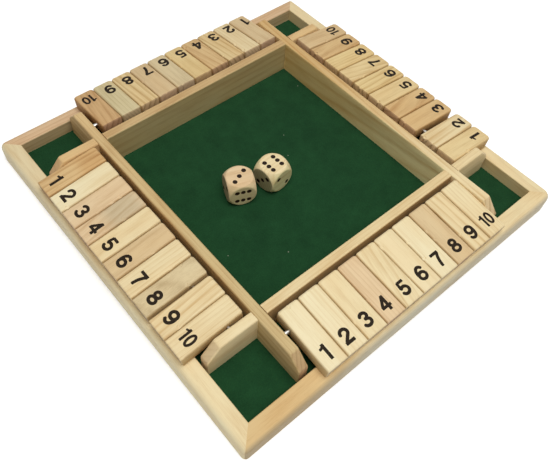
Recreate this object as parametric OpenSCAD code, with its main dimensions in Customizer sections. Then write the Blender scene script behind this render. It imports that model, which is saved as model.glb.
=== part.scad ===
// Shut the box game for four players: a square wooden tray with a row of ten
// hinged number tiles on each side, and two dice on its felt.
// Origin: centre of the underside. +Z is up, and the sides run along X and Y.
// Each side is drawn once, on +X, and turned about Z to its place.

/* [Frame] */
// Width of a frame rail, seen from above
rail_w = 12; // [10:0.5:20]
// Height of a frame rail
rail_h = 15.6; // [13:0.1:20]
// Radius of the round-over along a rail's outer top edge
rail_edge_r = 4; // [1:0.5:8]
// Radius of the frame's upright corners
frame_corner_r = 3; // [1:0.5:8]
// How far the base board reaches under a rail
rabbet_w = 5; // [3:0.5:8]

/* [Base] */
// Thickness of the base board
board_t = 4; // [3:0.5:6]
// Thickness of the felt
felt_t = 1.5; // [0.8:0.1:3]

/* [Walls] */
// Thickness of the tray walls and dividers
wall_t = 7; // [6:0.5:12]
// Height of the walls above the felt
wall_h = 24.8; // [20:0.1:34]
// Rounding of the walls' top edges
wall_edge_r = 1; // [0.5:0.1:2]
// Gap between a wall's outer end and the rail
wall_end_gap = 1.5; // [0.5:0.1:4]
// Height and length of the slope at a wall's outer end
wall_slope = 10; // [5:0.5:14]

/* [Tiles] */
// Length of a tile
tile_l = 45; // [38:0.5:60]
// Width of a tile, along its rod
tile_w = 15.9; // [12:0.1:20]
// Thickness of a tile
tile_t = 10; // [8:0.1:12]
// Gap between neighbouring tiles that are pushed together
tile_gap = 0.2; // [0.1:0.05:0.5]
// Play left over in each row
row_play = 3.8; // [0:0.1:8]
// Gap between a tile's inner end and the wall behind it
tile_back_gap = 2.7; // [2:0.1:6]
// Length of tile that lies over the rail
rail_lap = 9.2; // [6:0.1:11]
// Rounding of a tile's end edges
tile_end_r = 1.2; // [0.4:0.1:2]
// Rounding of a tile's upright corners
tile_corner_r = 1.5; // [0.4:0.1:3]
// Rounding of a tile's long edges
tile_long_r = 0.6; // [0.3:0.1:1.5]
// Gap left between a tile and what it comes to rest on
rest_gap = 0.2; // [0.1:0.05:0.5]

/* [Rods] */
// Diameter of a rod
rod_d = 3; // [2:0.1:4]
// Distance from a tile's inner end to its rod
rod_inset = 11.8; // [8:0.1:15]
// Depth of a rod's centre below the walls' tops
rod_drop = 5.9; // [4:0.1:8]
// Length of rod held in the wall at each end of a row
rod_seat = 4; // [2:0.5:5]
// Clearance around a rod in its seat, all round
seat_clearance = 0.05; // [0.02:0.01:0.1]
// Running clearance around a rod in a tile, all round
bore_clearance = 0.1; // [0.05:0.01:0.2]

/* [Dice] */
// Side of a die
die_side = 20; // [14:0.5:22]
// Radius of the ball that rounds a die's corners
die_ball_r = 13.6; // [12:0.1:17]
// Distance of the outer pips from the middle of a face, each way
pip_step = 4.2; // [3:0.1:5]
// Diameter of a pip
pip_d = 2.8; // [1.5:0.1:3.5]
// Depth of a pip
pip_depth = 0.7; // [0.3:0.1:1]
// Place of the left die on the felt
die_left_at = [-28.9, 3];
// Turn of the left die, in degrees
die_left_turn = -22.9; // [-45:0.1:45]
// Place of the right die on the felt
die_right_at = [-3.4, -2.6];
// Turn of the right die, in degrees
die_right_turn = 5.3; // [-45:0.1:45]

/* [Hidden] */
$fn = 64;
// How far a cutting shape reaches past what it cuts
over = 1;
SIDES = ["right", "back", "left", "front"];
// Tiles in a row
tile_count = 10;
TILES = [1 : tile_count];
// Tiles that stand before the play in each side's row, and the share of it that lies there
PLAY_AFTER = [2, 10, 8, 0];
PLAY_SHARE = [1, 1, 0.4, 1];

felt_top = board_t + felt_t;
wall_top = felt_top + wall_h;

// The tray is as long as a row of tiles with its gaps and play
tray_half = (tile_count * tile_w + (tile_count + 1) * tile_gap + row_play) / 2;
wall_out = tray_half + wall_t;

rod_x = wall_out + tile_back_gap + rod_inset;
rod_z = wall_top - rod_drop;
// Length of tile beyond its rod
tile_reach = tile_l - rod_inset;

// The frame is as wide as the tray with a row of tiles outside each of its walls
rail_in = rod_x + tile_reach - rail_lap;
frame_half = rail_in + rail_w;
frame_side = 2 * frame_half;
wall_end = rail_in - wall_end_gap;

// A resting tile slopes down from its rod, until its rounded lower edge meets the rail's top
// or its underside meets the rail's inner edge
rest_drop = rod_z - rail_h - rest_gap;
tip_x = tile_reach - tile_end_r;
tip_z = tile_t / 2 - tile_end_r;
tip_tilt = asin((rest_drop - tile_end_r) / norm([tip_x, tip_z])) - atan2(tip_z, tip_x);
edge_x = rail_in - rod_x;
edge_tilt = atan2(rest_drop, edge_x) - asin(tile_t / 2 / norm([edge_x, rest_drop]));
tile_tilt = min(tip_tilt, edge_tilt);

pip_ball_r = (pow(pip_d / 2, 2) + pow(pip_depth, 2)) / (2 * pip_depth);

PALE_WOOD = "burlywood";
TILE_WOOD = "wheat";

function side_turn(side) = 90 * side;
function rail_name(side) = str("rail_", SIDES[side]);
function rod_name(side) = str("rod_", SIDES[side]);
function tile_name(side, number) = str("tile_", SIDES[side], "_", number);

// ---- Shapes that several pieces share ----

// Rectangle centred on the origin, with rounded corners
module rounded_rect(size, r) {
    square([size.x - 2 * r, size.y], center = true);
    square([size.x, size.y - 2 * r], center = true);
    for (x = [-1, 1], y = [-1, 1])
        translate([x * (size.x / 2 - r), y * (size.y / 2 - r)]) circle(r);
}

// Extrudes an outline drawn in X and Z along Y, from one y to another
module along_y(from, to) {
    translate([0, to, 0]) rotate([90, 0, 0]) linear_extrude(to - from) children();
}

// Extrudes an outline drawn in Y and Z along X, from one x to another
module along_x(from, to) {
    translate([from, 0, 0]) rotate([90, 0, 90]) linear_extrude(to - from) children();
}

// ---- Frame ----

// Section of a rail: a step below for the base board, a round-over at the outer top edge
module rail_section() {
    difference() {
        translate([rail_in, 0]) square([rail_w, rail_h]);
        translate([rail_in - over, -over]) square([rabbet_w + over, board_t + over]);
        translate([frame_half - rail_edge_r, rail_h - rail_edge_r])
            difference() {
                square(rail_edge_r + over);
                circle(rail_edge_r);
            }
    }
}

// A rail is the part of the rounded square frame between two diagonals
module rail(side) {
    color(PALE_WOOD) rotate(side_turn(side)) intersection() {
        along_y(-frame_half, frame_half) rail_section();
        linear_extrude(rail_h + over)
            polygon([[0, 0], [frame_half + over, -frame_half - over], [frame_half + over, frame_half + over]]);
        linear_extrude(rail_h + over) rounded_rect([frame_side, frame_side], frame_corner_r);
    }
}

module base_board() {
    board_side = 2 * (rail_in + rabbet_w);
    color("tan") linear_extrude(board_t) square(board_side, center = true);
}

module felt() {
    color("darkgreen") translate([0, 0, board_t]) linear_extrude(felt_t) square(2 * rail_in, center = true);
}

// ---- Walls of the tray and of the corner compartments ----

// Section of a wall whose inner face is at tray_half
module wall_section() {
    r = wall_edge_r;
    translate([tray_half, felt_top]) {
        square([wall_t, wall_h - r]);
        translate([r, 0]) square([wall_t - 2 * r, wall_h]);
        for (x = [r, wall_t - r]) translate([x, wall_h - r]) circle(r);
    }
}

// Blind hole for a rod's end, from the row's end wall outwards
module rod_seat_hole() {
    translate([rod_x, tray_half - over, rod_z]) rotate([-90, 0, 0])
        cylinder(d = rod_d + 2 * seat_clearance, h = rod_seat + seat_clearance + over);
}

// A long wall: it closes one side of the tray, and its sloped ends divide the corners
module long_wall() {
    color(PALE_WOOD) difference() {
        intersection() {
            along_y(-wall_end, wall_end) wall_section();
            along_x(tray_half, wall_out) polygon([
                [-wall_end, felt_top], [wall_end, felt_top],
                [wall_end, wall_top - wall_slope], [wall_end - wall_slope, wall_top],
                [-wall_end + wall_slope, wall_top], [-wall_end, wall_top - wall_slope]
            ]);
        }
        for (y = [0, 1]) mirror([0, y, 0]) mirror([1, -1, 0]) rod_seat_hole();
    }
}

// A cross wall: it closes one end of the tray, between the long walls
module cross_wall() {
    color(PALE_WOOD) along_y(-tray_half, tray_half) wall_section();
}

// A divider: it runs on from a cross wall's line to the side rail, in the +X +Y corner
module divider() {
    color(PALE_WOOD) difference() {
        intersection() {
            mirror([1, -1, 0]) along_y(wall_out, wall_end) wall_section();
            along_y(tray_half, wall_out) polygon([
                [wall_out, felt_top], [wall_end, felt_top],
                [wall_end, wall_top - wall_slope], [wall_end - wall_slope, wall_top], [wall_out, wall_top]
            ]);
        }
        rod_seat_hole();
    }
}

// ---- Rods and tiles ----

module rod(side) {
    rod_half = tray_half + rod_seat;
    color("silver") rotate(side_turn(side)) translate([rod_x, rod_half, rod_z]) rotate([90, 0, 0])
        cylinder(d = rod_d, h = 2 * rod_half);
}

// A tile lying level, with its rod's centre at the origin and its numbered end towards +X
module tile_blank() {
    length = rod_inset + tile_reach;
    middle = (tile_reach - rod_inset) / 2;
    difference() {
        translate([middle, 0, 0]) intersection() {
            along_y(-tile_w / 2, tile_w / 2) rounded_rect([length, tile_t], tile_end_r);
            along_x(-length / 2, length / 2) rounded_rect([tile_w, tile_t], tile_long_r);
            linear_extrude(tile_t, center = true) rounded_rect([length, tile_w], tile_corner_r);
        }
        rotate([90, 0, 0]) cylinder(d = rod_d + 2 * bore_clearance, h = tile_w + 2 * over, center = true);
    }
}

// Middle of a tile along its rod: tiles follow each other along +Y on the side drawn on +X
function tile_y(side, number) =
    -tray_half + tile_gap + tile_w / 2 + (number - 1) * (tile_w + tile_gap)
    + row_play * (number > PLAY_AFTER[side] ? PLAY_SHARE[side] : 0);

module tile(side, number) {
    color(TILE_WOOD) rotate(side_turn(side)) translate([rod_x, tile_y(side, number), rod_z])
        rotate([0, tile_tilt, 0]) tile_blank();
}

// ---- Dice ----

// Places of the pips for a number, in steps from the middle of the face
function pip_spots(number) = concat(
    number % 2 == 1 ? [[0, 0]] : [],
    number > 1 ? [[-1, -1], [1, 1]] : [],
    number > 3 ? [[-1, 1], [1, -1]] : [],
    number == 6 ? [[-1, 0], [1, 0]] : []
);

// Turns that bring the top of a die to its top, bottom, front, back, left and right face
FACE_TURNS = [[0, 0, 0], [180, 0, 0], [90, 0, 0], [90, 0, 180], [90, 0, -90], [90, 0, 90]];

// A die lying on the felt: the numbers of its faces in the same order, and each pattern's own turn
module die(at, turn, numbers, pattern_turns) {
    color("wheat") translate([at.x, at.y, felt_top + die_side / 2]) rotate(turn) difference() {
        intersection() {
            cube(die_side, center = true);
            sphere(die_ball_r);
        }
        for (face = [0 : 5]) rotate(FACE_TURNS[face]) rotate(pattern_turns[face])
            for (spot = pip_spots(numbers[face]))
                translate([spot.x * pip_step, spot.y * pip_step, die_side / 2 + pip_ball_r - pip_depth])
                    sphere(pip_ball_r);
    }
}

module die_left() {
    die(die_left_at, die_left_turn, [3, 4, 6, 1, 2, 5], [0, 0, 90, 0, 0, 0]);
}

module die_right() {
    die(die_right_at, die_right_turn, [6, 1, 2, 5, 3, 4], [0, 0, 90, 0, 0, 0]);
}

// ---- The whole game ----

for (side = [0 : 3]) rail(side);
base_board();
felt();
long_wall();  // wall_right
mirror([1, 0, 0]) long_wall();  // wall_left
rotate(90) cross_wall();  // wall_back
rotate(-90) cross_wall();  // wall_front
divider();  // divider_back_right
mirror([1, 0, 0]) divider();  // divider_back_left
mirror([0, 1, 0]) divider();  // divider_front_right
mirror([1, 0, 0]) mirror([0, 1, 0]) divider();  // divider_front_left
for (side = [0 : 3]) rod(side);
for (side = [0 : 3], number = TILES)
    tile(side, number);
die_left();
die_right();
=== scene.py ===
"""The looks of a four-player shut the box game.

Wood, felt, steel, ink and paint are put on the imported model, and most of its pieces get a finer mesh.
"""

import math

import bmesh
import bpy
import numpy as np
from mathutils import Euler, Matrix, Vector


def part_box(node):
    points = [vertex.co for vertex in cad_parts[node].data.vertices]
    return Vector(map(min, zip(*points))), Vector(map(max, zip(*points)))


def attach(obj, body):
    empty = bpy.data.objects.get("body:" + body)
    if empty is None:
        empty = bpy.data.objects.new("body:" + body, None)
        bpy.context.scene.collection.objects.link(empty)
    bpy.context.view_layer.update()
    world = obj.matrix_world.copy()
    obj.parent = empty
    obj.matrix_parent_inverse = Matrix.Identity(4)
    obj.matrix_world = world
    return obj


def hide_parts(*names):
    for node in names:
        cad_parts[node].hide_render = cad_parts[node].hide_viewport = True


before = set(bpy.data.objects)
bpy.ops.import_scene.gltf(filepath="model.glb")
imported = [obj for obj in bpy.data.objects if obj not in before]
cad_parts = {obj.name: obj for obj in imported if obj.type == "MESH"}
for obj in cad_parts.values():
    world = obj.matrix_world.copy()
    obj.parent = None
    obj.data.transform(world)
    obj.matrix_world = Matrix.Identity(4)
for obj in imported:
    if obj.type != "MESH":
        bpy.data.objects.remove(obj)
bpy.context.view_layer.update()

MM = 0.001

# ---- The photograph's viewpoint ----

CAMERA_AT = Vector((-0.1953, -0.2019, 0.3470))
CAMERA_LOOK = Vector((0.3836, 0.4061, -0.8294))
CAMERA_UP = Vector((0.5186, 0.6484, 0.5573))
SENSOR_WIDTH = 36.0
LENS = 39.85
CAMERA_SHIFT = (0.0192, 0.0062)
CLIP_START = 0.01

# ---- The game's layout ----

# Each side's row is drawn on the right, at +X, and then turned
SIDES = ("right", "back", "left", "front")
TILES_IN_ROW = 10
# How far out and how high a row's rod lies, and how far its tiles slope down
ROD_X = 104 * MM
ROD_Z = 24.4 * MM
TILE_TILT = math.radians(6.5035)


def side_turn(side):
    """The turn about Z that takes a piece drawn on +X to its side."""
    return math.radians(90 * SIDES.index(side))


def middle(node):
    low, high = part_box(node)
    return (low + high) / 2


def tile_place(side, node):
    """Where a tile drawn about its rod belongs: x runs to its numbered end, y along the rod, z up."""
    spin = Matrix.Rotation(side_turn(side), 4, "Z")
    row_y = (spin.inverted() @ middle(node)).y
    return spin @ Matrix.Translation((ROD_X, row_y, ROD_Z)) @ Matrix.Rotation(TILE_TILT, 4, "Y")


# ---- Meshes and outlines ----


def arc(x, y, rx, ry, start, end, steps=28):
    """Points along an ellipse, between two angles in degrees."""
    angles = np.radians(np.linspace(start, end, steps))
    return np.stack([x + rx * np.cos(angles), y + ry * np.sin(angles)], 1)


def line(*points):
    return np.array(points, float)


def curve(start, control, end, steps=14):
    """Points along a curve that leaves its start, and reaches its end, in line with a control point."""
    t = np.linspace(0, 1, steps)[:, None]
    start, control, end = (np.array(p, float) for p in (start, control, end))
    return (1 - t) ** 2 * start + 2 * t * (1 - t) * control + t ** 2 * end


def mesh_from(shape, name):
    """A mesh with the faces of a bmesh, which is used up."""
    mesh = bpy.data.meshes.new(name)
    shape.to_mesh(mesh)
    shape.free()
    return mesh


def join_rings(shape, rings):
    """Joins each ring of a bmesh's points to the next by a band of four-sided faces."""
    for lower, upper in zip(rings, rings[1:]):
        for i in range(len(lower)):
            j = (i + 1) % len(lower)
            shape.faces.new((lower[i], lower[j], upper[j], upper[i]))


def add_cylinder(shape, radius, length, segments, place):
    """Adds a cylinder to a bmesh, which lies along Z before it is placed."""
    bmesh.ops.create_cone(
        shape, cap_ends=True, segments=segments, radius1=radius, radius2=radius, depth=length, matrix=place)


def shade_smooth(mesh, sharp_over=None):
    """Smooths a mesh's shading, but not across edges that turn by more than an angle in degrees."""
    mesh.polygons.foreach_set("use_smooth", [True] * len(mesh.polygons))
    if sharp_over:
        mesh.set_sharp_from_angle(angle=math.radians(sharp_over))


def carve(mesh, drill, name):
    """Cuts the solids of a bmesh out of a mesh, whose cut faces keep the drill's material slots."""
    tool = mesh_from(drill, name + "_drill")
    for material in mesh.materials:
        tool.materials.append(material)
    blank, cutter = (bpy.data.objects.new(m.name, m) for m in (mesh, tool))
    for helper in (blank, cutter):
        bpy.context.scene.collection.objects.link(helper)
    cut = blank.modifiers.new("cut", "BOOLEAN")
    cut.object = cutter
    cut.operation = "DIFFERENCE"
    cut.solver = "EXACT"
    bpy.context.view_layer.update()
    carved = bpy.data.meshes.new_from_object(blank.evaluated_get(bpy.context.evaluated_depsgraph_get()))
    carved.name = name + "_carved"
    for helper in (blank, cutter):
        bpy.data.objects.remove(helper)
    return carved


def new_piece(name, mesh, *materials):
    piece = bpy.data.objects.new(name, mesh)
    bpy.context.scene.collection.objects.link(piece)
    for material in materials:
        mesh.materials.append(material)
    return piece


def finish_node(node, material):
    """Gives a CAD node its material, and smooths the shading of its round faces."""
    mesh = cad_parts[node].data
    mesh.materials.clear()
    mesh.materials.append(material)
    shade_smooth(mesh, sharp_over=35)


# ---- Node trees ----


def srgb(red, green, blue):
    """A colour written as it looks on screen, from 0 to 255, as the linear values that Blender uses."""
    def linear(value):
        value /= 255
        return value / 12.92 if value <= 0.04045 else ((value + 0.055) / 1.055) ** 2.4
    return (linear(red), linear(green), linear(blue), 1)


def tinted(colour, tint):
    return tuple(a * b for a, b in zip(colour, tint))


WHITE = (1, 1, 1, 1)
MOTTLE_DEPTH = 0.02 * MM


class Tree:
    """The node tree of a material or a world, built one node at a time."""

    def __init__(self, owner):
        owner.use_nodes = True
        self.owner = owner
        self.node_tree = owner.node_tree
        self.node_tree.nodes.clear()

    def add(self, kind, inputs=None, output=0, **settings):
        """Adds a node, links or sets its inputs, and returns one of its outputs."""
        node = self.node_tree.nodes.new("ShaderNode" + kind)
        for key, value in settings.items():
            setattr(node, key, value)
        for key, value in (inputs or {}).items():
            if isinstance(value, bpy.types.NodeSocket):
                self.node_tree.links.new(value, node.inputs[key])
            else:
                node.inputs[key].default_value = value
        return node.outputs[output] if node.outputs else node

    def math(self, operation, *values, clamp=False):
        return self.add("Math", dict(enumerate(values)), operation=operation, use_clamp=clamp)

    def raise_by(self, total, value, factor, clamp=False):
        """A total, raised by a value times a factor."""
        return self.math("ADD", total, self.math("MULTIPLY", value, factor), clamp=clamp)

    def part(self, vector, axis):
        return self.add("SeparateXYZ", {"Vector": vector}, output=axis)

    def place(self, vector, at=(0, 0, 0), turn=(0, 0, 0), stretch=(1, 1, 1)):
        """Coordinates from a frame at a place and turn, in units of stretch along each axis."""
        inputs = {"Vector": vector, "Location": at, "Rotation": turn, "Scale": stretch}
        return self.add("Mapping", inputs, vector_type="TEXTURE")

    def in_mm(self, at=(0, 0, 0), turn=(0, 0, 0)):
        """The object's coordinates, in mm, from a frame at a place and turn."""
        return self.place(self.add("TexCoord", output="Object"), at, turn, stretch=(MM, MM, MM))

    def noise(self, vector, scale=1.0, detail=2.0, rough=0.5):
        inputs = {"Vector": vector, "Scale": scale, "Detail": detail, "Roughness": rough}
        return self.add("TexNoise", inputs, output="Fac")

    def ramp(self, value, *stops):
        """A value run through (position, grey) stops."""
        out = self.add("ValToRGB", {"Fac": value})
        band = out.node.color_ramp
        while len(band.elements) < len(stops):
            band.elements.new(0.5)
        for element, (position, grey) in zip(band.elements, stops):
            element.position = position
            element.color = (grey, grey, grey, 1)
        return out

    def mix(self, share, first, second, blend="MIX"):
        inputs = {0: share, 6: first, 7: second}
        return self.add("Mix", inputs, output=2, data_type="RGBA", blend_type=blend)

    def tint(self, share, colour, shade):
        """A colour, multiplied by a shade where share is 1 and left as it is where that is 0."""
        return self.mix(share, colour, self.mix(1.0, colour, shade, blend="MULTIPLY"))

    def bump(self, height, strength, distance):
        return self.add("Bump", {"Height": height, "Strength": strength, "Distance": distance})

    def surface(self, **inputs):
        """Ends a material's tree in a Principled shader, whose inputs are named with _ for a space."""
        named = {key.replace("_", " "): value for key, value in inputs.items()}
        self.add("OutputMaterial", {"Surface": self.add("BsdfPrincipled", named)})
        return self.owner

    def seen_directly(self):
        """1 for the camera's rays and those off gloss or through glass, and 0 for the rest."""
        rays = self.add("LightPath").node.outputs
        direct = self.math("MAXIMUM", rays["Is Camera Ray"], rays["Is Glossy Ray"])
        return self.math("MAXIMUM", direct, rays["Is Transmission Ray"])


def new_tree(name):
    return Tree(bpy.data.materials.new(name))


def mottled(name, dark, light, scale, detail, rough, relief, fine=0.5, stops=None, **more):
    """A material whose colour, roughness and relief all follow one noise."""
    tree = new_tree(name)
    speck = tree.noise(tree.in_mm(), scale, detail, fine)
    colour = tree.mix(tree.ramp(speck, *stops) if stops else speck, dark, light)
    least_rough, rougher = rough
    roughness = tree.raise_by(least_rough, speck, rougher)
    normal = tree.bump(speck, relief, MOTTLE_DEPTH)
    return tree.surface(Base_Color=colour, Roughness=roughness, Normal=normal, **more)


# ---- Wood ----

# Each tone is the light wood, the dark grain in it, and the end grain, as seen on screen
TONES = {
    "pale": ((247, 232, 190), (226, 200, 148), (206, 178, 144)),
    "cream": ((243, 224, 178), (216, 184, 130), (200, 170, 136)),
    "sand": ((239, 214, 160), (200, 164, 108), (192, 160, 124)),
    "yellow": ((238, 212, 154), (200, 162, 102), (190, 156, 116)),
    "honey": ((228, 195, 141), (192, 149, 97), (184, 146, 114)),
    "blush": ((228, 196, 156), (193, 152, 112), (184, 148, 120)),
    "orange": ((218, 180, 128), (176, 130, 82), (174, 134, 106)),
    "rosy": ((236, 209, 167), (206, 171, 126), (190, 154, 128)),
    "fawn": ((228, 202, 156), (194, 160, 114), (184, 150, 122)),
    "grey": ((228, 208, 164), (188, 164, 122), (180, 152, 124)),
    "olive": ((224, 208, 162), (190, 170, 122), (180, 154, 120)),
}
# The tint of the redder stretches of any plank
WARM = (0.97, 0.89, 0.80, 1)
# Each figure is the ring spacing and the heart's place across and below the plank, in mm, how far the
# grain runs off the plank's length, in degrees, and how much the rings show and wobble
FIGURES = {
    "plain": dict(spacing=3.0, heart=(34, -46), slant=(1.5, 1.0), show=0.14, wobble=5.0),
    "straight": dict(spacing=2.4, heart=(60, -30), slant=(0.6, 0.8), show=0.34, wobble=3.0),
    "streaky": dict(spacing=4.0, heart=(52, -24), slant=(1.0, 2.4), show=0.60, wobble=4.0),
    "diagonal": dict(spacing=4.2, heart=(46, -30), slant=(2.0, 9.0), show=0.42, wobble=5.0),
    "arched": dict(spacing=2.8, heart=(1.5, -17), slant=(7.5, 1.5), show=0.42, wobble=4.5),
}
# Where a piece is darker, in mm along it from its middle, how far that reaches, and its tint
PATCHES = {
    "rail_front": (-114, 84, (0.85, 0.74, 0.61, 1)),
    "rail_left": (-140, 190, (0.93, 0.93, 0.95, 1)),
    "wall_right": (126, 250, (0.80, 0.66, 0.50, 1)),
    "wall_left": (-90, 260, (0.86, 0.93, 0.94, 1)),
    "wall_front": (50, 260, (0.93, 0.90, 0.85, 1)),
    "wall_back": (40, 400, (0.84, 0.84, 0.85, 1)),
    "tile_left_1": (-14, 14, (0.92, 0.85, 0.78, 1)),
    "tile_left_4": (-9, 20, (0.80, 0.86, 0.90, 1)),
}
# In this share of that reach it is full
PATCH_CORE = 0.3

# A ring texture of scale 1 has a ring every 0.314 of a unit
RING_EVERY = 0.314
# How dark a ring is, from its early wood, at 0, to the start of the next ring, at 1
RING_SHADES = ((0.0, 0.25), (0.12, 0.0), (0.55, 0.16), (0.86, 1.0), (1.0, 0.45))
# How much further rings, fibres, dark areas and pores run along the grain than across it
DRAWN_OUT = (7, 1, 1)
# The sizes of fibres, dark areas and pores before that, and of warm stretches and specks, in mm
FIBRE_SIZE = (3.2, 0.42, 0.42)
DARK_SIZE = (4.5, 5.5, 5.5)
PORE_SIZE = (0.5, 0.34, 0.34)
WARM_SIZE = (55, 16, 16)
SPECK_SIZE = (0.5, 0.5, 0.5)
# Where in their noise pores and warm stretches begin and are full, and how much they show there
PORES = ((0.66, 0.0), (0.76, 1.0))
WARM_STRETCHES = ((0.42, 0.0), (0.75, 0.7))
# How much of the dark grain each brings in; fibres and dark areas take some away below their middles
FIBRE_SHOW, FIBRE_MIDDLE = 1.3, 0.5
DARK_SHOW, DARK_MIDDLE = 1.15, 0.42
PORE_SHOW = 0.22
# How much end grain shows on a cut face, and how far that turns until it shows in full
END_SHOW = 0.85
END_FADE = 0.3
# How dark its late rings are, how much more they show than elsewhere, and how much its specks do
END_LATE = 0.3
END_RINGS = 0.06
SPECK_SHOW = 0.3
# From which turn to which the tint of a side comes in
SIDE_FADE = ((0.4, 0.0), (0.9, 1.0))
# How rough planed wood is, and what fibres and cut faces add to that
PLANED_ROUGH = 0.46
FIBRE_ROUGH = 0.22
CUT_ROUGH = 0.2
# How high late wood stands among the fibres, and how strong and deep all of that is
LATE_RELIEF = -0.35
WOOD_RELIEF = (0.35, 0.06 * MM)
WOOD_GLOSS = 0.14


def grain(tree, along, shape, chance):
    """The late wood, the fibres, the dark areas and the pores, each as an output from 0 to 1."""
    # of three places drawn, the first says where along its log the plank was cut
    cut_at = chance.uniform(-400, 400, 3)[0]
    across, below = shape["heart"]
    across *= chance.choice((-1, 1)) * chance.uniform(0.85, 1.15)
    below *= chance.uniform(0.85, 1.15)
    slants = [math.radians(s * chance.choice((-1, 1)) * chance.uniform(0.7, 1.2)) for s in shape["slant"]]
    grown = tree.place(along, at=(cut_at, across, below), turn=(0, *slants), stretch=DRAWN_OUT)
    wave = {
        "Vector": grown, "Scale": RING_EVERY / shape["spacing"], "Phase Offset": chance.uniform(0, 6),
        "Distortion": shape["wobble"], "Detail": 2.0, "Detail Scale": 0.22, "Detail Roughness": 0.55}
    ring = tree.add("TexWave", wave, output="Fac", wave_type="RINGS", rings_direction="X", wave_profile="SAW")
    late = tree.ramp(ring, *RING_SHADES)
    fibre_place = tree.place(grown, at=(chance.uniform(0, 90), 0, 0), stretch=FIBRE_SIZE)
    dark_place = tree.place(grown, at=(chance.uniform(0, 90), 0, 0), stretch=DARK_SIZE)
    fibre = tree.noise(fibre_place, detail=3.0, rough=0.65)
    dark_area = tree.noise(dark_place, detail=1.5)
    pore = tree.ramp(tree.noise(tree.place(grown, stretch=PORE_SIZE), detail=1.0), *PORES)
    return late, fibre, dark_area, pore


def wood(name, tone, figure, at, turn=0.0, tilt=0.0, seed=0, sides=None, sides_within=None,
         ends=WHITE, all_over=WHITE, patch=None, cut_from=0.55):
    """Solid wood whose grain runs along X, once that is turned and tilted, with end grain on cut faces.

    sides tints the faces towards -Y and +Y, no further from the middle than sides_within, in mm. ends tints
    the end grain, which shows where a face looks along X by more than cut_from. patch is as in PATCHES.
    """
    light, dark, end = (tinted(srgb(*colour), all_over) for colour in TONES[tone])
    end = tinted(end, ends)
    show = FIGURES[figure]["show"]
    chance = np.random.default_rng(seed)
    tree = new_tree(name)
    along = tree.in_mm(at, (0, tilt, turn))
    late, fibre, dark_area, pore = grain(tree, along, FIGURES[figure], chance)

    share = tree.math("MULTIPLY", late, show)
    share = tree.raise_by(share, tree.math("SUBTRACT", fibre, FIBRE_MIDDLE), FIBRE_SHOW)
    share = tree.raise_by(share, tree.math("SUBTRACT", dark_area, DARK_MIDDLE), DARK_SHOW)
    share = tree.raise_by(share, pore, PORE_SHOW, clamp=True)
    colour = tree.mix(share, light, dark)
    warm_place = tree.place(along, at=(chance.uniform(0, 900), 0, 0), stretch=WARM_SIZE)
    colour = tree.tint(tree.ramp(tree.noise(warm_place, detail=1.0), *WARM_STRETCHES), colour, WARM)
    if patch:
        patch_at, reach, shade = patch
        off = tree.math("ABSOLUTE", tree.math("SUBTRACT", tree.part(along, "X"), patch_at))
        fade = {0: off, 1: PATCH_CORE * reach, 2: reach, 3: 1.0, 4: 0.0}
        colour = tree.tint(tree.add("MapRange", fade, interpolation_type="SMOOTHSTEP"), colour, shade)

    facing = tree.place(tree.add("TexCoord", output="Normal"), turn=(0, tilt, turn))
    endward = tree.math("ABSOLUTE", tree.part(facing, "X"))
    cut = tree.ramp(endward, (cut_from, 0.0), (min(cut_from + END_FADE, 1.0), 1.0))
    speck = tree.noise(tree.place(along, stretch=SPECK_SIZE), rough=0.7)
    banded = tree.raise_by(tree.math("MULTIPLY", late, END_RINGS + show), speck, SPECK_SHOW)
    late_end = tinted(dark, (END_LATE, END_LATE, END_LATE, 1))
    colour = tree.mix(tree.math("MULTIPLY", cut, END_SHOW), colour, tree.mix(banded, end, late_end))
    for sign, shade in zip((-1, 1), sides or ()):
        side = tree.ramp(tree.math("MULTIPLY", tree.part(facing, "Y"), sign), *SIDE_FADE)
        if sides_within:
            off = tree.math("ABSOLUTE", tree.part(along, "X"))
            side = tree.math("MULTIPLY", side, tree.math("LESS_THAN", off, sides_within))
        colour = tree.tint(side, colour, shade)

    rough = tree.raise_by(tree.math("MULTIPLY", fibre, FIBRE_ROUGH), cut, CUT_ROUGH)
    rough = tree.math("ADD", rough, PLANED_ROUGH)
    relief = tree.math("SUBTRACT", tree.raise_by(fibre, late, LATE_RELIEF), pore)
    normal = tree.bump(relief, *WOOD_RELIEF)
    return tree.surface(Base_Color=colour, Roughness=rough, Normal=normal, Specular_IOR_Level=WOOD_GLOSS)


# ---- Tiles ----

# Each tile's tone and figure, from 1 to 10 on each side
TILE_WOOD = {
    "front": ("pale plain", "pale straight", "cream plain", "rosy straight", "cream diagonal",
              "pale plain", "pale plain", "fawn plain", "cream streaky", "cream straight"),
    "left": ("honey streaky", "pale plain", "rosy plain", "rosy diagonal", "cream plain",
             "fawn plain", "cream straight", "grey arched", "cream streaky", "cream straight"),
    "back": ("fawn plain", "cream straight", "sand streaky", "honey diagonal", "yellow plain",
             "grey plain", "fawn plain", "sand streaky", "olive straight", "orange diagonal"),
    "right": ("sand plain", "cream streaky", "honey plain", "honey diagonal", "sand plain",
              "yellow streaky", "sand diagonal", "yellow straight", "honey diagonal", "fawn plain"),
}
# Painted shade on a tile's long sides, which stands for the dark gaps between the tiles
GAP_SHADED_SIDE = (0.68, 0.60, 0.50, 1)
# Each row's tint, which is painted shade on the back and right rows, the tint of its end grain, and how far a
# face looks along a tile where that begins
ROW_LOOKS = {
    "front": (WHITE, WHITE, 0.7),
    "left": (WHITE, WHITE, 0.7),
    "back": ((0.96, 0.96, 0.97, 1), (1.0, 0.97, 0.90, 1), 0.3),
    "right": ((0.98, 0.98, 0.98, 1), (0.98, 0.93, 0.80, 1), 0.3),
}

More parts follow.
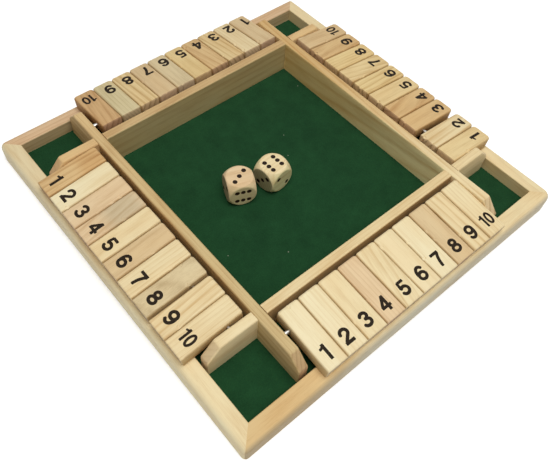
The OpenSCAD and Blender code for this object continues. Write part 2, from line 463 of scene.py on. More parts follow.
# A tile's shape, in mm: x runs from its rod to its numbered end, y along the rod, z up from its middle
TILE_INNER = {"front": -11.8, "left": -11.8, "back": -10.4, "right": -11.1}
TILE_OUTER = 33.2
TILE_HALF_WIDE = 7.95
TILE_HALF_THICK = 5.0
# How much narrower than that a tile may be on each side
NARROWEST = 0.24
BORE = 1.6
BORE_SEGMENTS = 28
BORE_LENGTH = 40
INNER_CORNER = 1.9
OUTER_CORNER = {"front": 1.0, "left": 1.0, "back": 2.6, "right": 3.0}
TIGHTEST_CORNER = 0.2
# How far the rounding reaches in from the end by the rod, the numbered end and the long sides
EDGES = {
    "front": (1.25, 0.8, 0.95),
    "left": (1.25, 0.8, 0.95),
    "back": (0.8, 1.2, 0.95),
    "right": (0.8, 1.2, 0.95),
}
# How many rings make the rounding, how much of it is flat, and how far its rim runs onto the top
EDGE_RINGS = 6
PLANED = 0.55
CAP_RIM = 0.3
# How many points round a tile make each corner, each long side and each end
CORNER_POINTS = 8
LONG_POINTS = 70
END_POINTS = 24
# The wear of the upper edges: a slow and a fine wobble, and its chips' number, width and depth
SLOW_WEAR = 0.06
FINE_WEAR = 0.05
CHIPS = (3, 7)
CHIP_WIDE = (0.4, 1.6)
CHIP_DEEP = (0.15, 1.0)
# How much of it the numbered end is spared, the most for a corner, and how far wear lowers an edge
SPARED = 0.8
DEEPEST_AT_CORNER = 0.4
WORN_DOWN = 0.4


def tile_directions():
    """For each point of a tile_ring, the way outward and how far the point belongs to an end."""
    outward, endward = [], []
    for end, across in ((1, 1), (-1, 1), (-1, -1), (1, -1)):
        starts_at_end = end == across
        share = np.cos(np.linspace(0, math.pi / 2, CORNER_POINTS)) ** 2
        outward += [(end * math.sqrt(0.5), across * math.sqrt(0.5))] * CORNER_POINTS
        endward += list(share if starts_at_end else share[::-1])
        outward += [(0, across)] * LONG_POINTS if starts_at_end else [(end, 0)] * END_POINTS
        endward += [0] * LONG_POINTS if starts_at_end else [1] * END_POINTS
    return np.array(outward), np.array(endward)


def tile_ring(side, half_wide, from_inner, from_outer, from_sides):
    """Points round a tile from above, in mm, with round corners, drawn in from its ends and sides."""
    low, high, half = TILE_INNER[side] + from_inner, TILE_OUTER - from_outer, half_wide - from_sides
    outer = max(OUTER_CORNER[side] - min(from_outer, from_sides), TIGHTEST_CORNER)
    inner = max(INNER_CORNER - min(from_inner, from_sides), TIGHTEST_CORNER)
    arcs = []
    for x, y, corner, start in ((high - outer, half - outer, outer, 0),
                                (low + inner, half - inner, inner, 90),
                                (low + inner, inner - half, inner, 180),
                                (high - outer, outer - half, outer, 270)):
        arcs.append(arc(x, y, corner, corner, start, start + 90, CORNER_POINTS))
    ring = []
    for number, (here, ahead) in enumerate(zip(arcs, arcs[1:] + arcs[:1])):
        between = END_POINTS if number % 2 else LONG_POINTS
        steps = np.arange(1, between + 1)[:, None] / (between + 1)
        ring += [here, here[-1] + (ahead[0] - here[-1]) * steps]
    return np.concatenate(ring)


def edge_wear(points, outward, chance):
    """How far a tile's upper edge is worn back at each point, in mm."""
    where = np.cumsum(np.linalg.norm(np.diff(points, axis=0, prepend=points[:1]), axis=1))
    worn = SLOW_WEAR * (1 + np.sin(where / chance.uniform(3, 6) + chance.uniform(0, 6)))
    worn += FINE_WEAR * chance.random(len(points))
    for _ in range(chance.integers(*CHIPS)):
        chip_at = chance.uniform(0, where[-1])
        wide = chance.uniform(*CHIP_WIDE)
        worn += chance.uniform(*CHIP_DEEP) * np.exp(-((where - chip_at) / wide) ** 2)
    worn *= 1 - SPARED * outward[:, 0].clip(0, 1)
    at_corner = np.abs(outward).min(axis=1) > 0
    for corner in np.split(np.flatnonzero(at_corner), 4):
        worn[corner] = min(worn[corner].mean(), DEEPEST_AT_CORNER)
    return worn


def tile_mesh(name, side, chance):
    """A tile: rings stacked up, drawn in where its edges are round or worn, and bored for the rod."""
    half_wide = TILE_HALF_WIDE - chance.uniform(0, NARROWEST)
    inner_edge, outer_edge, long_edge = EDGES[side]
    outward, endward = tile_directions()
    radius = endward * np.where(outward[:, 0] < 0, inner_edge, outer_edge) + (1 - endward) * long_edge
    wear = edge_wear(tile_ring(side, half_wide, 0, 0, 0), outward, chance)
    block = bmesh.new()
    rings = []
    upper = [(1, step, 0) for step in np.linspace(0, 1, EDGE_RINGS)] + [(1, 1, CAP_RIM), (1, 1, 2 * CAP_RIM)]
    for up, step, rim in [(-up, step, rim) for up, step, rim in upper[::-1]] + upper:
        bend = step * math.pi / 2
        reach_in = PLANED * step + (1 - PLANED) * (1 - math.cos(bend))
        reach_up = PLANED * step + (1 - PLANED) * math.sin(bend)
        worn = wear * step if up > 0 else 0 * wear
        xy = tile_ring(side, half_wide, *(edge * reach_in + rim for edge in EDGES[side]))
        xy -= outward * worn[:, None]
        height = up * (TILE_HALF_THICK - radius * (1 - reach_up) - (0 if rim else WORN_DOWN * worn))
        rings.append([block.verts.new((x * MM, y * MM, z * MM)) for (x, y), z in zip(xy, height)])
    join_rings(block, rings)
    block.faces.new(rings[0][::-1])
    block.faces.new(rings[-1])

    drill = bmesh.new()
    add_cylinder(drill, BORE * MM, BORE_LENGTH * MM, BORE_SEGMENTS, Matrix.Rotation(math.pi / 2, 4, "X"))
    bored = carve(mesh_from(block, name), drill, name)
    shade_smooth(bored, sharp_over=50)
    return bored


def dress_tiles():
    for side, woods in TILE_WOOD.items():
        # a row's tint is painted shade on the back and right rows
        tint, ends, cut_from = ROW_LOOKS[side]
        for number, words in enumerate(woods, 1):
            node = f"tile_{side}_{number}"
            tone, figure = words.split()
            seed = 1000 * SIDES.index(side) + number
            mesh = tile_mesh(node + "_block", side, np.random.default_rng(seed))
            mesh.transform(tile_place(side, node))
            # the long sides get painted shade for the gaps between the tiles
            material = wood(
                node + "_wood", tone, figure, middle(node), side_turn(side), TILE_TILT, seed,
                sides=(GAP_SHADED_SIDE, GAP_SHADED_SIDE), ends=ends, all_over=tint, patch=PATCHES.get(node),
                cut_from=cut_from)
            piece = new_piece(node + "_block", mesh, material)
            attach(piece, node)
            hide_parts(node)


# ---- Walls, dividers and rails ----

# The slope at the free ends of the long walls and dividers, and how soft their edges are
END_SLOPE = 10 * MM
SOFT_EDGE = {"wall_right": 0.8 * MM}
SOFTEST_EDGE = 1.3 * MM
EDGE_SEGMENTS = 4
# The rods' blind seats, and how far off a board's face a rod's end still lies in it
SEAT_WIDE = 3.1 * MM
SEAT_DEEP = 4.05 * MM
SEAT_SEGMENTS = 24
SEAT_NEAR = 5 * MM


def board_outline(start, end, floor, top, start_free, end_free):
    """A board's outline from the side: each free end slopes down from its top."""
    outline = [(start, floor), (end, floor)]
    outline += [(end, top - END_SLOPE), (end - END_SLOPE, top)] if end_free else [(end, top)]
    outline += [(start + END_SLOPE, top), (start, top - END_SLOPE)] if start_free else [(start, top)]
    return outline


def seat_drill(low, high, run, across):
    """The drills for the rods' seats in a board, which runs along one axis and faces along another."""
    drill = bmesh.new()
    for rod in ("rod_right", "rod_left") if across == 1 else ("rod_back", "rod_front"):
        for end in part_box(rod):
            spot = middle(rod)
            spot[across] = end[across] - math.copysign(SEAT_DEEP, end[across])
            beside = low[across] - SEAT_NEAR < spot[across] < high[across] + SEAT_NEAR
            if low[run] < spot[run] < high[run] and beside:
                lay = Matrix.Rotation(math.pi / 2, 4, "X" if across == 1 else "Y")
                place = Matrix.Translation(spot) @ lay
                add_cylinder(drill, SEAT_WIDE / 2, 2 * SEAT_DEEP, SEAT_SEGMENTS, place)
    return drill


def board_mesh(node, along):
    """A wall or divider: a board on edge with sloping free ends, soft edges and blind seats for rods."""
    low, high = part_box(node)
    run, across = (0, 1) if along == "X" else (1, 0)
    start_free = along == "Y" or low.x < 0
    end_free = along == "Y" or high.x > 0
    outline = board_outline(low[run], high[run], low.z, high.z, start_free, end_free)
    board = bmesh.new()
    faces = []
    for edge in (low[across], high[across]):
        spots = [(place, edge, z) if run == 0 else (edge, place, z) for place, z in outline]
        faces.append([board.verts.new(spot) for spot in spots])
    board.faces.new(faces[0])
    board.faces.new(faces[1][::-1])
    for i in range(len(outline)):
        j = (i + 1) % len(outline)
        board.faces.new((faces[0][j], faces[0][i], faces[1][i], faces[1][j]))
    bmesh.ops.recalc_face_normals(board, faces=board.faces[:])

    def soft(edge):
        """Whether an edge is eased: not on the felt, and not where the board is held."""
        places = [v.co for v in edge.verts]
        on_felt = all(p.z < low.z + MM for p in places)
        at_start = all(p[run] < low[run] + MM for p in places)
        at_end = all(p[run] > high[run] - MM for p in places)
        return not (on_felt or at_start and not start_free or at_end and not end_free)

    bmesh.ops.bevel(
        board, geom=[e for e in board.edges if soft(e)], offset=SOFT_EDGE.get(node, SOFTEST_EDGE),
        segments=EDGE_SEGMENTS, profile=0.5, affect="EDGES", clamp_overlap=True)
    drilled = carve(mesh_from(board, node + "_board"), seat_drill(low, high, run, across), node)
    shade_smooth(drilled, sharp_over=40)
    return drilled


# A rail's section, in mm: its size, the step under it, its rounding outside and its eased edges
FRAME_HALF = 139.99
RAIL_WIDE = 11.99
RAIL_HIGH = 15.6
RAIL_STEP = (5.0, 4.0)
ROUND_OVER = 4.2
EASED = 0.4
# How round the frame's corner is seen from above, in mm, at the end of each rail
CORNER_AFTER = {"right": 3.5, "back": 4.5, "left": 3.0, "front": 6.5}
# How many points its top and its rounding have, and how high the points on its outer face lie, in mm
TOP_POINTS = 4
ROUND_POINTS = 10
OUTER_POINTS = (7.0, 3.0)
# How many sections make a rail's length and each corner, and a corner's first and last bend
RAIL_RINGS = 70
CORNER_RINGS = 10
LEAST_BEND = 3
MITRE = 45


def rail_section():
    """Points round a rail's section: how far each lies in from the outer face, and its height."""
    step_in, step_up = RAIL_STEP
    points = [(RAIL_WIDE, step_up), (RAIL_WIDE, RAIL_HIGH - EASED), (RAIL_WIDE - EASED, RAIL_HIGH)]
    points += [(inward, RAIL_HIGH) for inward in np.linspace(RAIL_WIDE - 1, ROUND_OVER + 0.5, TOP_POINTS)]
    for angle in np.radians(np.linspace(90, 180, ROUND_POINTS)):
        points.append((ROUND_OVER * (1 + math.cos(angle)), RAIL_HIGH - ROUND_OVER * (1 - math.sin(angle))))
    points += [(0, height) for height in OUTER_POINTS] + [(0, EASED), (EASED, 0)]
    points += [(RAIL_WIDE - step_in, 0), (RAIL_WIDE - step_in, step_up)]
    return points


def rail_mesh(side):
    """A rail: its section run along the side and round both corners, as far as the mitres."""
    before = CORNER_AFTER[SIDES[SIDES.index(side) - 1]]
    after = CORNER_AFTER[side]
    section = rail_section()

    def place(along, bend, corner, end):
        """The section's points at a place along the side, or bent round a corner by an angle."""
        ring = []
        for inward, height in section:
            x, y = FRAME_HALF - inward, along
            if bend is not None and inward < corner:
                x = FRAME_HALF - corner + (corner - inward) * math.cos(bend)
                y = end * (FRAME_HALF - corner + (corner - inward) * math.sin(bend))
            elif abs(y) > x:
                y = math.copysign(x, y)
            ring.append(Vector((x * MM, y * MM, height * MM)))
        return ring

    bends = np.radians(np.linspace(LEAST_BEND, MITRE, CORNER_RINGS))
    straight = np.linspace(before - FRAME_HALF, FRAME_HALF - after, RAIL_RINGS)
    rings = [place(-FRAME_HALF, bend, before, -1) for bend in bends[::-1]]
    rings += [place(along, None, 0, 1) for along in straight]
    rings += [place(FRAME_HALF, bend, after, 1) for bend in bends]
    rail = bmesh.new()
    rows = [[rail.verts.new(spot) for spot in ring] for ring in rings]
    join_rings(rail, rows)
    rail.faces.new(rows[0])
    rail.faces.new(rows[-1])
    bmesh.ops.remove_doubles(rail, verts=rail.verts[:], dist=0.001 * MM)
    bmesh.ops.recalc_face_normals(rail, faces=rail.faces[:])
    mesh = mesh_from(rail, f"rail_{side}_moulding")
    mesh.transform(Matrix.Rotation(side_turn(side), 4, "Z"))
    shade_smooth(mesh, sharp_over=35)
    return mesh


CLEAN_SIDE = (1, 1, 0.94, 1)
# The rails' wood, and the tints of their outer and inner faces: painted light and shade, bluer, on the outer
# faces, and painted shade on the inner faces of the right and back rails
RAILS = {
    "right": ("cream plain", (0.86, 0.92, 1.06, 1), (0.88, 0.86, 0.80, 1)),
    "back": ("blush straight", (0.86, 0.92, 1.06, 1), (0.78, 0.86, 0.80, 1)),
    "left": ("cream plain", (1.02, 1.08, 1.18, 1), CLEAN_SIDE),
    "front": ("cream plain", (0.72, 0.79, 0.97, 1), CLEAN_SIDE),
}
# Painted shade on the walls' faces beside the tiles, and on the far walls' faces towards the tray painted
# shade on the back wall's and painted light on the right wall's, both greener
SHADED_SIDE = (0.74, 0.64, 0.54, 1)
BACK_SHADED_SIDE = (0.82, 0.93, 0.90, 1)
RIGHT_LIT_SIDE = (1.14, 1.24, 1.18, 1)
# The long walls and dividers: their wood, the axis they run along, and the tints of their two faces, which
# hold painted shade and light
BOARDS = {
    "wall_left": ("honey straight", "Y", (CLEAN_SIDE, SHADED_SIDE)),
    "wall_right": ("cream streaky", "Y", (CLEAN_SIDE, RIGHT_LIT_SIDE)),
    "divider_front_left": ("cream plain", "X", None),
    "divider_front_right": ("cream straight", "X", None),
    "divider_back_left": ("honey plain", "X", None),
    "divider_back_right": ("honey plain", "X", None),
}
# The long walls' painted shade and light lie only beside the tiles, which reach this far from the middle, in
# mm
ROW_HALF = 86
BOARD_ENDS = (1.12, 1.14, 1.08, 1)


def dress_rails():
    for number, (side, (words, outer, inner)) in enumerate(RAILS.items()):
        node = f"rail_{side}"
        tone, figure = words.split()
        # a rail's grain runs along the side, a quarter turn from the way its tiles point
        turn = side_turn(side) + math.pi / 2
        # outer and inner are painted light and shade on the rail's faces
        material = wood(
            node + "_wood", tone, figure, middle(node), turn, seed=52 + number,
            sides=(outer, inner), patch=PATCHES.get(node))
        piece = new_piece(node + "_moulding", rail_mesh(side), material)
        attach(piece, "tray")
        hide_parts(node)


def dress_walls():
    """A new mesh for the long walls and dividers; the cross walls and the base board keep theirs."""
    for number, (node, (words, along, sides)) in enumerate(BOARDS.items()):
        tone, figure = words.split()
        turn = math.pi / 2 if along == "Y" else 0
        material = wood(
            node + "_wood", tone, figure, middle(node), turn, seed=70 + number, sides=sides,
            sides_within=ROW_HALF, ends=BOARD_ENDS, patch=PATCHES.get(node))
        piece = new_piece(node + "_board", board_mesh(node, along), material)
        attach(piece, "tray")
        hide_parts(node)
    # painted shade on wall_front's face beside the tiles and on wall_back's face towards the tray
    for node, tone, sides in (("wall_front", "cream", (SHADED_SIDE, CLEAN_SIDE)),
                              ("wall_back", "honey", (BACK_SHADED_SIDE, CLEAN_SIDE))):
        finish_node(node, wood(
            node + "_wood", tone, "straight", middle(node), seed=80, sides=sides, patch=PATCHES[node]))
    finish_node("base_board", wood("base_board_wood", "honey", "arched", middle("base_board"), seed=90))


# ---- Steel rods ----


def steel_material():
    return mottled(
        "rod_steel", srgb(150, 148, 142), srgb(214, 212, 206), scale=2.5, detail=3.0,
        rough=(0.16, 0.2), relief=0.15, Metallic=1.0)


def dress_rods():
    steel = steel_material()
    for side in SIDES:
        finish_node(f"rod_{side}", steel)


# ---- Numerals ----

# How thick the ink is, and how deep it lies in the wood
INK_THICK = 0.05 * MM
INK_SUNK = 0.02 * MM
# The grid that a numeral's outline is cut from, in mm
GRID = 0.12
# Single figures are printed this much larger than drawn here
PRINTED = 1.07
# A numeral's strokes and their widths, in mm: x runs right from its middle, y up from its base
BOLD = 2.0
SLIM = 1.7
GLYPHS = {
    1: [(line((0.75, 0), (0.75, 9.8)), BOLD), (curve((-1.9, 7.5), (0.1, 7.6), (0.7, 9.2)), 1.5)],
    2: [(np.concatenate([arc(0, 6.6, 2.4, 2.2, 186, -28), line((-1.5, 2.1), (-2.1, 1.0))]), BOLD),
        (line((-3.2, 1.0), (3.3, 1.0)), BOLD)],
    3: [(arc(-0.1, 6.95, 2.2, 1.85, 168, -95), BOLD), (arc(-0.1, 3.0, 2.5, 2.0, 95, -166), BOLD)],
    4: [(line((1.25, 0), (1.25, 9.8)), BOLD), (line((-3.4, 2.95), (3.4, 2.95)), 1.8),
        (line((-2.7, 3.2), (1.1, 9.1)), 1.9)],
    5: [(line((-1.9, 8.9), (2.7, 8.9)), 1.8), (line((-1.55, 9.2), (-2.05, 4.9)), 1.8),
        (arc(-0.05, 3.3, 2.45, 2.35, 143, -164), BOLD)],
    6: [(arc(0.05, 3.25, 2.4, 2.25, 0, 360, 44), BOLD), (arc(0.35, 4.9, 2.75, 3.95, 205, 42), BOLD)],
    7: [(line((-3.1, 8.85), (3.2, 8.85)), 1.9), (curve((2.4, 8.6), (-0.3, 5.2), (-0.6, 0)), BOLD)],
    8: [(arc(0, 7.05, 2.0, 1.75, 0, 360, 44), BOLD), (arc(0, 3.0, 2.45, 2.0, 0, 360, 44), BOLD)],
    10: [(line((-2.25, 0.2), (-2.25, 9.5)), SLIM), (curve((-4.6, 7.5), (-2.9, 7.6), (-2.4, 9.0)), 1.3),
         (arc(2.25, 4.85, 1.85, 3.85, 0, 360, 48), SLIM)],
}
# A nine is a six turned half round
GLYPHS[9] = [(np.array([0, 9.8]) - path * (1, 1), width) for path, width in GLYPHS[6]]
# The space that the widest and tallest take up, and some more
GLYPH_X = (-5.4, 5.5)
GLYPH_Y = (-0.4, 10.4)
# How near the outline a grid point may lie
CLEAR_OF_OUTLINE = 1e-4


def ink_material():
    return mottled(
        "numeral_ink", srgb(34, 26, 17), srgb(76, 62, 44), scale=1.6, detail=3.0,
        rough=(0.5, 0.25), relief=0.2, fine=0.7, stops=((0.5, 0.0), (0.8, 0.7)), Specular_IOR_Level=0.1)


def ink_depth(glyph, x, y):
    """How far each grid point lies inside the strokes, in mm; outside it is negative."""
    depth = np.full(x.shape, -9.0)
    for path, width in glyph:
        for (ax, ay), (bx, by) in zip(path[:-1], path[1:]):
            length = math.hypot(bx - ax, by - ay)
            ux, uy = (bx - ax) / length, (by - ay) / length
            forward = (x - ax) * ux + (y - ay) * uy
            aside = np.abs((y - ay) * ux - (x - ax) * uy)
            depth = np.maximum(depth, np.minimum.reduce([width / 2 - aside, forward, length - forward]))
        for px, py in path[1:-1]:
            depth = np.maximum(depth, width / 2 - np.hypot(x - px, y - py))
    return depth


def ink_plate(number):
    """A thin plate in a numeral's shape: the grid cells inside it, cut where its outline crosses them."""
    xs, ys = np.arange(*GLYPH_X, GRID), np.arange(*GLYPH_Y, GRID)
    x, y = np.meshgrid(xs, ys, indexing="ij")
    depth = ink_depth(GLYPHS[number], x, y)
    depth[np.abs(depth) < CLEAR_OF_OUTLINE] = CLEAR_OF_OUTLINE
    plate = bmesh.new()
    made = {}

    def corner(i, j):
        if (i, j) not in made:
            made[i, j] = plate.verts.new((xs[i] * MM, ys[j] * MM, 0))
        return made[i, j]

    def crossing(a, b):
        key = (min(a, b), max(a, b))
        if key not in made:
            (i, j), (k, m) = key
            t = depth[i, j] / (depth[i, j] - depth[k, m])
            made[key] = plate.verts.new(
                ((xs[i] + t * (xs[k] - xs[i])) * MM, (ys[j] + t * (ys[m] - ys[j])) * MM, 0))
        return made[key]

    deepest = np.maximum.reduce([depth[:-1, :-1], depth[1:, :-1], depth[1:, 1:], depth[:-1, 1:]])
    for i, j in zip(*np.nonzero(deepest > 0)):
        ring = [(i, j), (i + 1, j), (i + 1, j + 1), (i, j + 1)]
        outline = []
        for a, b in zip(ring, ring[1:] + ring[:1]):
            if depth[a] > 0:
                outline.append(corner(*a))
            if (depth[a] > 0) != (depth[b] > 0):
                outline.append(crossing(a, b))
        plate.faces.new(outline)
    bmesh.ops.dissolve_limit(plate, angle_limit=0.02, verts=plate.verts[:], edges=plate.edges[:])
    raised = bmesh.ops.extrude_face_region(plate, geom=plate.faces[:])["geom"]
    upper = [v for v in raised if isinstance(v, bmesh.types.BMVert)]
    bmesh.ops.translate(plate, vec=(0, 0, INK_THICK), verts=upper)
    bmesh.ops.recalc_face_normals(plate, faces=plate.faces[:])
    return mesh_from(plate, f"numeral_{number}")


# How far the numerals' base is from the rod, in mm: for a 1, and what each further number adds
BASE_FROM_ROD = {"right": 28.8, "back": 28.6, "left": 28.0, "front": 28.5}
BASE_STEP = -0.13
# How far each numeral, from 1 to 10, was stamped off its tile's middle, in mm
OFF_MIDDLE = {
    "right": (-0.4, -0.2, -0.5, -0.8, -0.6, -0.2, 0.2, 0.0, -0.2, 0.2),
    "back": (-3.2, -2.4, -2.4, -2.5, -2.2, -1.9, -2.2, -1.1, -1.4, 0.1),
    "left": (-0.4, -0.5, 0.2, 0.3, 0.4, 0.0, 0.3, 0.5, -0.3, -0.3),
    "front": (-0.9, -1.1, -0.8, -0.9, 0.0, -0.1, 0.0, 0.0, 0.3, 0.3),
}


def print_numerals():
    ink = ink_material()
    plates = {number: ink_plate(number) for number in GLYPHS}
    upright = Matrix.Rotation(math.pi / 2, 4, "Z")
    for side in SIDES:
        for number in range(1, TILES_IN_ROW + 1):
            node = f"tile_{side}_{number}"
            base = (BASE_FROM_ROD[side] + BASE_STEP * (number - 1)) * MM
            aside = OFF_MIDDLE[side][number - 1] * MM
            spot = Matrix.Translation((base, aside, TILE_HALF_THICK * MM - INK_SUNK))
            grown = PRINTED if number < 10 else 1
            mesh = plates[number].copy()
            mesh.transform(tile_place(side, node) @ spot @ upright @ Matrix.Diagonal((grown, grown, 1, 1)))
            piece = new_piece(f"numeral_{side}_{number}", mesh, ink)
            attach(piece, node)


# ---- Felt ----

FELT_DARK = srgb(5, 26, 14)
FELT_LIGHT = srgb(39, 86, 50)
# How much its tufts and the clouds in its tone lighten it
TUFT_SHOW = 0.6
CLOUD_SHOW = 0.5
FELT_RELIEF = (0.5, 0.25 * MM)
LINT = srgb(196, 196, 176)
LINT_SHOW = 0.45
# Lint lies in the middles of a few cells: their scale, how wide it is, in cells, and how rare
LINT_CELLS = 0.09
LINT_WIDE = 0.035
LINT_RARE = 0.965
# How many squares lie along each side of the sheet, and how deep its fibres dimple it
FELT_SQUARES = 220
DIMPLE = 0.10 * MM


def felt_material():
    tree = new_tree("felt_green")
    place = tree.in_mm()
    tuft = tree.noise(place, scale=1.1, detail=3.0, rough=0.7)
    cloud = tree.noise(place, scale=0.09, detail=3.0, rough=0.6)
    share = tree.raise_by(tree.math("MULTIPLY", tuft, TUFT_SHOW), cloud, CLOUD_SHOW, clamp=True)
    colour = tree.mix(share, FELT_DARK, FELT_LIGHT)
    cell = {"Vector": place, "Scale": LINT_CELLS}
    near = tree.add("TexVoronoi", cell, output="Distance", voronoi_dimensions="2D")
    cell_colour = tree.add("TexVoronoi", cell, output="Color", voronoi_dimensions="2D")
    picked = tree.math("GREATER_THAN", tree.add("SeparateColor", {"Color": cell_colour}), LINT_RARE)
    fleck = tree.math("MULTIPLY", tree.math("LESS_THAN", near, LINT_WIDE), picked)
    colour = tree.mix(tree.math("MULTIPLY", fleck, LINT_SHOW), colour, LINT)
    normal = tree.bump(tuft, *FELT_RELIEF)
    return tree.surface(
        Base_Color=colour, Roughness=0.95, Normal=normal, Specular_IOR_Level=0.08, Sheen_Weight=0.05)


def order_round(vertices):
    """Vertices of a convex rim, in order round it."""
    return sorted(vertices, key=lambda v: math.atan2(v.co.y, v.co.x))


def lay_felt():
    """The felt sheet: a slab whose top is dimpled by its fibres."""
    low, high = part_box("felt")
    chance = np.random.default_rng(7)
    sheet = bmesh.new()
    bmesh.ops.create_grid(sheet, x_segments=FELT_SQUARES, y_segments=FELT_SQUARES, size=(high.x - low.x) / 2)
    dips = chance.uniform(0, DIMPLE, len(sheet.verts))
    for vertex, dip in zip(sheet.verts, dips):
        vertex.co.z = high.z - dip
    raised = bmesh.ops.extrude_edge_only(sheet, edges=[e for e in sheet.edges if e.is_boundary])["geom"]
    rim = [v for v in raised if isinstance(v, bmesh.types.BMVert)]
    for vertex in rim:
        vertex.co.z = low.z
    sheet.faces.new(order_round(rim))
    bmesh.ops.recalc_face_normals(sheet, faces=sheet.faces[:])
    piece = new_piece("felt_sheet", mesh_from(sheet, "felt_sheet"), felt_material())
    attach(piece, "tray")
    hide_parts("felt")


# ---- Dice ----

DIE_SIDE = 20 * MM
# A die is where a cube and a ball overlap; the higher the crispness, the harder the edge between them
DIE_BALL = 13.6 * MM
DIE_CRISPNESS = 84
DIE_CUTS = 47
PIP_STEP = 4.2 * MM
PIP_WIDE = 3.4 * MM
PIP_DEEP = 0.7 * MM
# Each die's turn, the numbers on its top, bottom, front, back, left and right, its wood and its seed
DICE = {
    "die_left": (math.radians(-22.9), (3, 4, 6, 1, 2, 5), "rosy", "plain", 304),
    "die_right": (math.radians(5.3), (6, 1, 2, 5, 3, 4), "cream", "straight", 305),
}
# Painted shade with the felt's green in it, on a die's upright faces: across its grain, and on its end grain
DIE_SHADED_SIDES = (0.88, 0.98, 0.90, 1)
DIE_SHADED_ENDS = (0.66, 0.92, 0.80, 1)
# The turns that take the top face to each face, in the order above
FACE_TURNS = [(0, 0, 0), (math.pi, 0, 0), (math.pi / 2, 0, 0), (math.pi / 2, 0, math.pi),
              (math.pi / 2, 0, -math.pi / 2), (math.pi / 2, 0, math.pi / 2)]
# The face whose pips lie crossways
FRONT_FACE = 2


def paint_material():
    return mottled(
        "pip_paint", srgb(18, 9, 3), srgb(44, 28, 13), scale=2.0, detail=2.0,
        rough=(0.45, 0.3), relief=0.2, Specular_IOR_Level=0.15)


def pip_spots(number):
    """The places of a number's pips on a face, in steps from its middle."""
    spots = [(0, 0)] if number % 2 else []
    spots += [(-1, -1), (1, 1)] if number > 1 else []
    spots += [(-1, 1), (1, -1)] if number > 3 else []
    spots += [(-1, 0), (1, 0)] if number == 6 else []
    return spots


def die_body():
    """A cube rounded by a ball, with its edges worn soft."""
    half = DIE_SIDE / 2
    body = bmesh.new()
    bmesh.ops.create_cube(body, size=2)
    bmesh.ops.subdivide_edges(body, edges=body.edges[:], cuts=DIE_CUTS, use_grid_fill=True)
    for vertex in body.verts:
        aim = vertex.co.normalized()
        flat = half / max(abs(aim.x), abs(aim.y), abs(aim.z))
        reach = (flat ** -DIE_CRISPNESS + DIE_BALL ** -DIE_CRISPNESS) ** (-1 / DIE_CRISPNESS)
        vertex.co = aim * reach
    return body


def pip_drill(numbers):
    """The balls that hollow out the pips of all six faces, in the second material."""
    ball = ((PIP_WIDE / 2) ** 2 + PIP_DEEP ** 2) / (2 * PIP_DEEP)
    drill = bmesh.new()
    for face, number in enumerate(numbers):
        facing = Euler(FACE_TURNS[face]).to_matrix().to_4x4()
        if face == FRONT_FACE:
            facing = facing @ Matrix.Rotation(math.pi / 2, 4, "Z")
        for x, y in pip_spots(number):
            spot = Matrix.Translation((x * PIP_STEP, y * PIP_STEP, DIE_SIDE / 2 + ball - PIP_DEEP))
            bmesh.ops.create_uvsphere(drill, u_segments=28, v_segments=20, radius=ball, matrix=facing @ spot)
    for face in drill.faces:
        face.material_index = 1
    return drill


def make_dice():
    """The wooden dice, with drilled and painted pips."""
    paint = paint_material()
    for name, (turn, numbers, tone, figure, seed) in DICE.items():
        centre = middle(name)
        material = wood(
            name + "_wood", tone, figure, centre, turn, seed=seed, sides=(DIE_SHADED_SIDES, DIE_SHADED_SIDES),
            ends=DIE_SHADED_ENDS, cut_from=0.8)
        mesh = mesh_from(die_body(), name + "_body")
        mesh.materials.append(material)
        mesh.materials.append(paint)
        drilled = carve(mesh, pip_drill(numbers), name)
        shade_smooth(drilled)
        drilled.transform(Matrix.Translation(centre) @ Matrix.Rotation(turn, 4, "Z"))
        piece = new_piece(name + "_turned", drilled)
        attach(piece, name)
        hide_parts(name)


# ---- The studio ----

FLOOR_HALF = 3.0
FLOOR_DROP = 0.2 * MM
# The camera sees the floor brighter than it is lit: how far from its middle, and by how much
NEAR_FLOOR, NEAR_LIFT = 0.14, 0.30
FAR_FLOOR, FAR_LIFT = 0.34, 0.75
SKY_LIGHT = 0.24
KEY_POWER = 9.5
KEY_AT = Vector((-0.08, -0.24, 1.1))
KEY_SIZE = 0.8


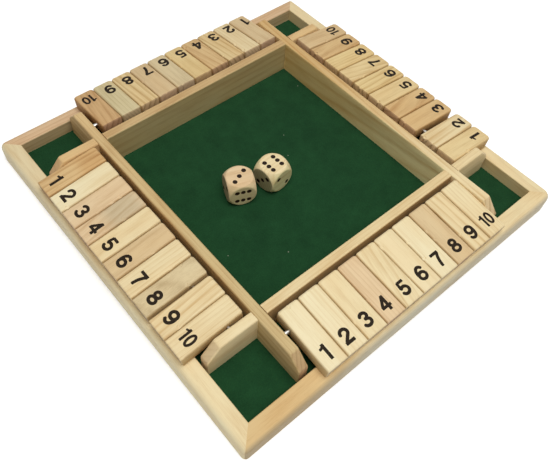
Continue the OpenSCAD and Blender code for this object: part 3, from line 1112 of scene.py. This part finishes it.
def make_floor():
    """A pale floor that the camera sees brighter than it is lit, so that it runs out to white."""
    tree = new_tree("floor_pale")
    spot = tree.add("TexCoord", output="Object")
    mottle = tree.noise(spot, scale=40)
    away = tree.add("VectorMath", {0: spot}, output="Value", operation="LENGTH")
    lift = tree.add("MapRange", {0: away, 1: NEAR_FLOOR, 2: FAR_FLOOR, 3: NEAR_LIFT, 4: FAR_LIFT})
    rest = tree.add("MapRange", {0: away, 1: 2 * FAR_FLOOR, 2: FLOOR_HALF / 2, 3: 0.0, 4: 1 - FAR_LIFT})
    colour = tree.mix(mottle, srgb(238, 238, 237), srgb(243, 243, 242))
    glow = tree.math("MULTIPLY", tree.seen_directly(), tree.math("ADD", lift, rest))
    material = tree.surface(
        Base_Color=colour, Roughness=0.9, Specular_IOR_Level=0.1,
        Emission_Color=WHITE, Emission_Strength=glow)
    corners = [(x * FLOOR_HALF, y * FLOOR_HALF, -FLOOR_DROP) for x, y in ((-1, -1), (1, -1), (1, 1), (-1, 1))]
    mesh = bpy.data.meshes.new("floor")
    mesh.from_pydata(corners, [], [(0, 1, 2, 3)])
    new_piece("floor", mesh, material)


def light_studio():
    """A dim sky that looks white to the camera, and one large round lamp above the player at the front."""
    world = bpy.data.worlds.new("studio")
    bpy.context.scene.world = world
    tree = Tree(world)
    sky = tree.add("Background", {"Strength": SKY_LIGHT, "Color": WHITE})
    backdrop = tree.add("Background", {"Strength": 1.0, "Color": WHITE})
    choice = tree.add("MixShader", {0: tree.seen_directly(), 1: sky, 2: backdrop})
    tree.add("OutputWorld", {"Surface": choice})

    lamp = bpy.data.lights.new("key", "AREA")
    lamp.shape = "DISK"
    lamp.size = KEY_SIZE
    lamp.energy = KEY_POWER
    key = bpy.data.objects.new("key", lamp)
    key.location = KEY_AT
    key.rotation_euler = (-KEY_AT).to_track_quat("-Z", "Y").to_euler()
    bpy.context.scene.collection.objects.link(key)


def set_camera():
    data = bpy.data.cameras.new("camera")
    data.sensor_fit = "HORIZONTAL"
    data.sensor_width = SENSOR_WIDTH
    data.lens = LENS
    data.shift_x, data.shift_y = CAMERA_SHIFT
    data.clip_start = CLIP_START
    camera = bpy.data.objects.new("camera", data)
    back = -CAMERA_LOOK.normalized()
    right = CAMERA_UP.cross(back).normalized()
    up = back.cross(right)
    turn = Matrix((right, up, back)).transposed()
    camera.matrix_world = Matrix.Translation(CAMERA_AT) @ turn.to_4x4()
    bpy.context.scene.collection.objects.link(camera)
    bpy.context.scene.camera = camera
    bpy.context.scene.view_settings.view_transform = "Standard"


set_camera()
light_studio()
make_floor()
dress_tiles()
dress_rails()
dress_walls()
dress_rods()
print_numerals()
lay_felt()
make_dice()
